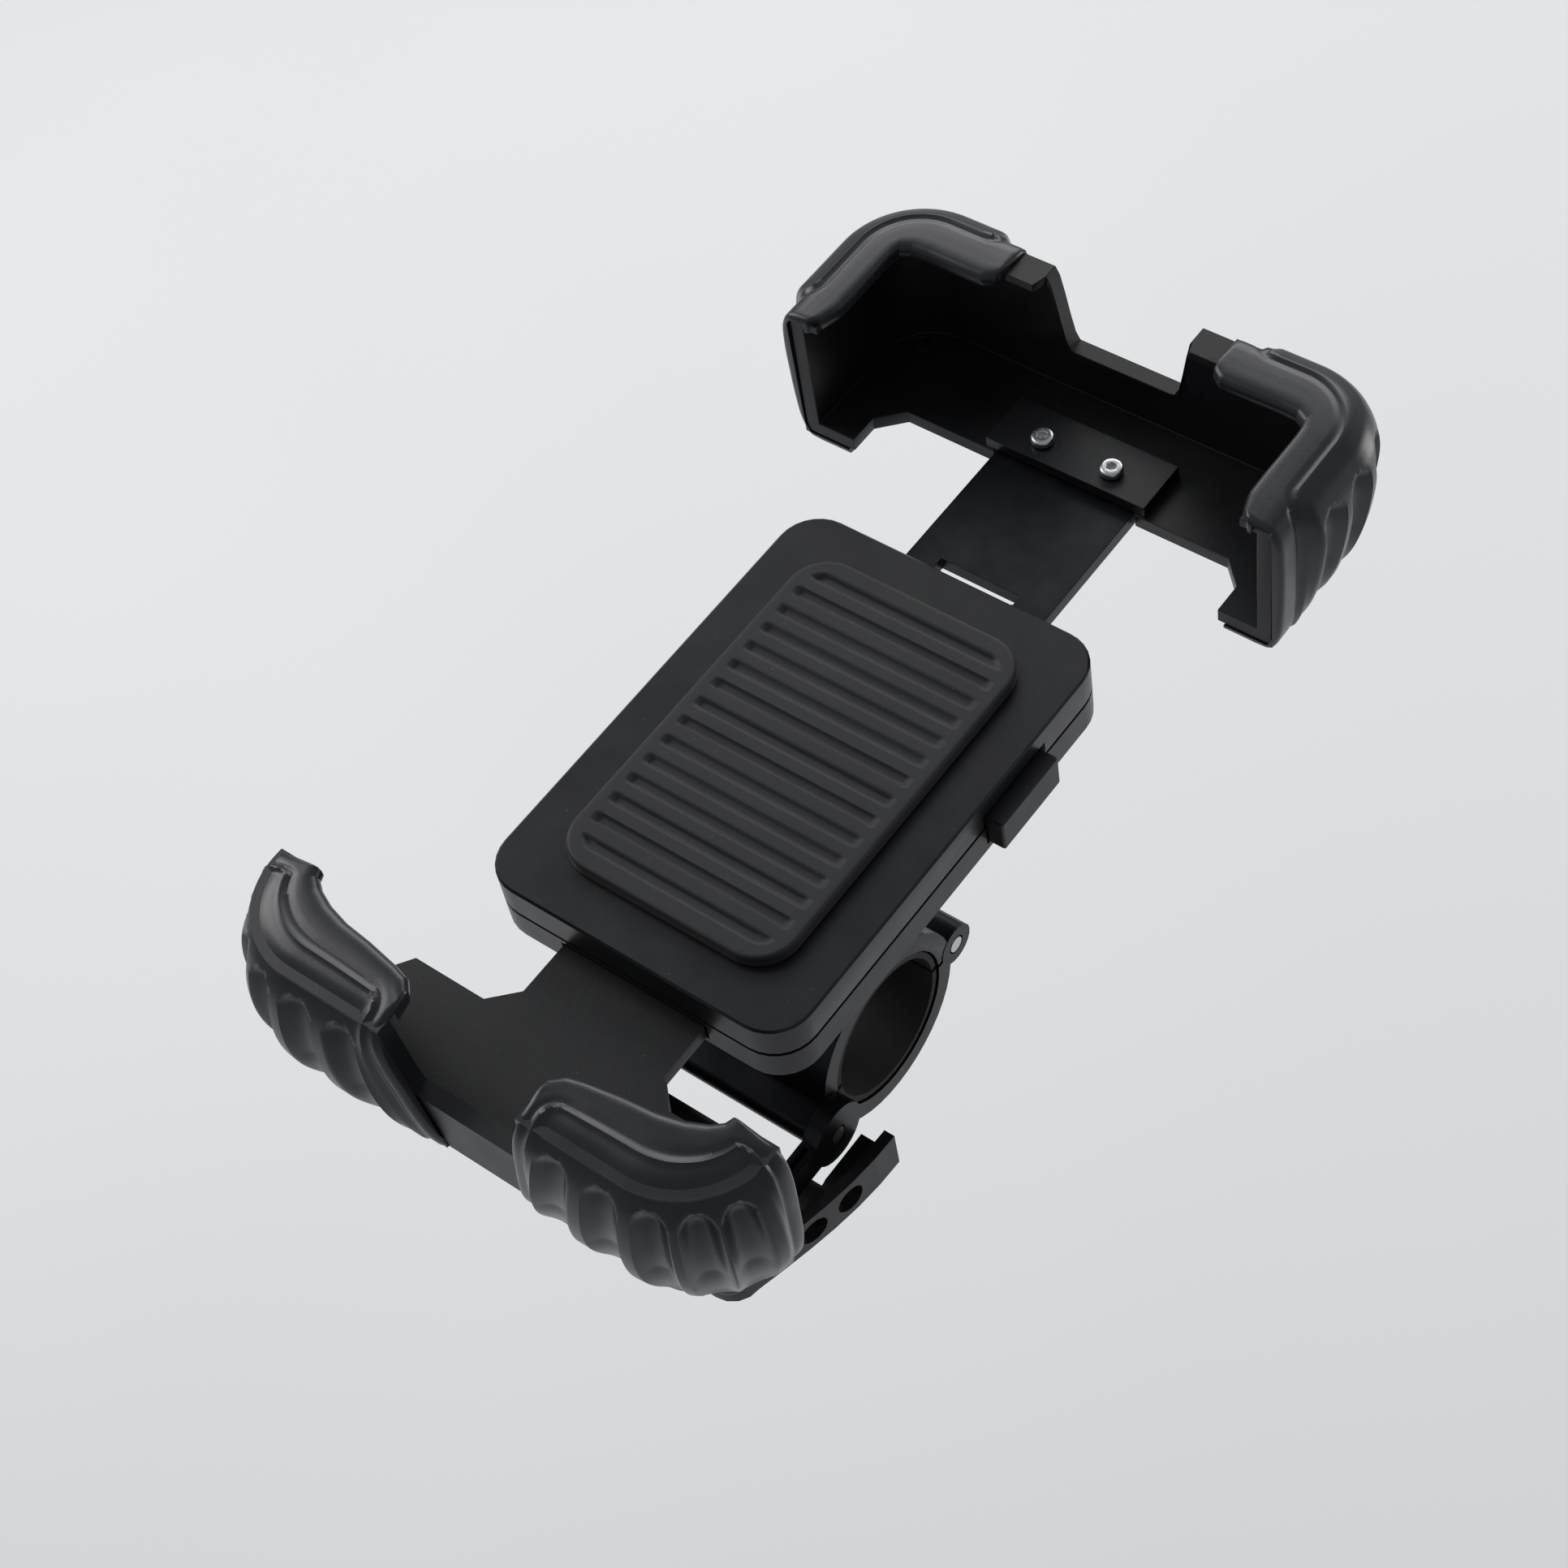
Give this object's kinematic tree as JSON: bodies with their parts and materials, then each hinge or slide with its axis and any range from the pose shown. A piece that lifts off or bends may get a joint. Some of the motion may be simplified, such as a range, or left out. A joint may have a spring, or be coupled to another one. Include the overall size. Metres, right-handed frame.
{
  "type": "phone mount",
  "caption": "Bicycle phone mount: a hinged bar clamp with a lift-up latch, a ball joint with a ribbed lock ring, and a slim cradle whose geared slide closes rubber corner claws on the phone",
  "frame": {"origin": "on the handlebar's axis, at the middle of the clamp's width", "axes": "+X along the handlebar to the right of a rider reading the phone, +Y towards the top edge of the phone, +Z out of the phone's screen"},
  "size_m": [0.1006, 0.1805, 0.0927],
  "materials": {
    "moulded": "black glass-filled nylon, fine spark texture",
    "shell": "black ABS, satin",
    "claw": "matte charcoal overmoulded rubber",
    "lining": "black liner rubber",
    "pad": "black silicone",
    "acetal": "natural acetal",
    "steel": "stainless steel",
    "spring": "drawn spring wire",
    "alloy": "black anodised"
  },
  "bodies": {
    "base": {"clamp_saddle": "alloy", "saddle_liner": "lining", "jaw_hinge_pin": "steel", "ball_stud": "steel", "stud_screw_left": "steel", "stud_screw_right": "steel"},
    "jaw": {"clamp_jaw": "alloy", "jaw_liner": "lining", "latch_pin": "steel"},
    "latch": {"latch_frame": "alloy", "latch_grip": "moulded"},
    "cup": {"friction_cup": "acetal"},
    "tilter": {"socket_liner": "lining"},
    "head": {"socket_housing": "moulded", "body_back": "shell", "body_front": "shell", "body_screw_left_lower": "steel", "body_screw_left_upper": "steel", "body_screw_right_lower": "steel", "body_screw_right_upper": "steel", "housing_screw_left": "steel", "housing_screw_right": "steel", "pinion_axle": "steel", "guide_rod_left": "steel", "guide_rod_right": "steel", "return_spring_left": "spring", "return_spring_right": "spring", "button_spring": "spring", "lower_bracket": "moulded", "bracket_screw_left": "steel", "bracket_screw_right": "steel", "centre_pad": "pad", "claw_cover_lower_left": "claw", "claw_cover_lower_right": "claw", "cover_rivet_lower_left": "moulded", "cover_rivet_lower_right": "moulded"},
    "ring": {"lock_ring": "moulded"},
    "slider": {"slide_plate": "alloy", "upper_bracket": "moulded", "claw_cover_upper_left": "claw", "claw_cover_upper_right": "claw", "cover_rivet_upper_left": "moulded", "cover_rivet_upper_right": "moulded", "slide_screw_left": "steel", "slide_screw_right": "steel"},
    "gear": {"pinion": "acetal"},
    "button": {"lock_button": "moulded", "brake_shoe": "lining"}
  },
  "joints": [
    {"name": "jaw_open", "type": "hinge", "parent": "base", "child": "jaw", "pos_m": [0, 0.0193, 0], "axis": [1, 0, 0], "range_deg": [0, 55]},
    {"name": "latch_open", "type": "hinge", "parent": "jaw", "child": "latch", "pos_m": [0, -0.0193, -0.003], "axis": [-1, 0, 0], "range_deg": [0, 60]},
    {"name": "tilt_x", "type": "hinge", "parent": "base", "child": "cup", "pos_m": [0, 0, 0.0325], "axis": [1, 0, 0], "range_deg": [-15, 15]},
    {"name": "tilt_y", "type": "hinge", "parent": "cup", "child": "tilter", "pos_m": [0, 0, 0.0325], "axis": [0, 1, 0], "range_deg": [-15, 15]},
    {"name": "swivel", "type": "hinge", "parent": "tilter", "child": "head", "pos_m": [0, 0, 0.0325], "axis": [0, 0, 1], "continuous": true},
    {"name": "ring_turn", "type": "hinge", "parent": "head", "child": "ring", "pos_m": [0, 0, 0.0325], "axis": [0, 0, 1], "continuous": true},
    {"name": "slide_out", "type": "slide", "parent": "head", "child": "slider", "axis": [0, 1, 0], "range_m": [-0.025, 0.008], "deforming": ["return_spring_left", "return_spring_right"]},
    {"name": "pinion_turn", "type": "hinge", "parent": "head", "child": "gear", "pos_m": [0, 0.022, 0.0465], "axis": [0, 0, 1], "range_deg": [-245, 80]},
    {"name": "button_press", "type": "slide", "parent": "head", "child": "button", "axis": [-1, 0, 0], "range_m": [0, 0.0018], "stiffness_N_per_m": 400, "deforming": ["button_spring"]}
  ],
  "couplings": [
    {"joint": "pinion_turn", "follows": "slide_out", "rad_per_m": 166.67}
  ]
}
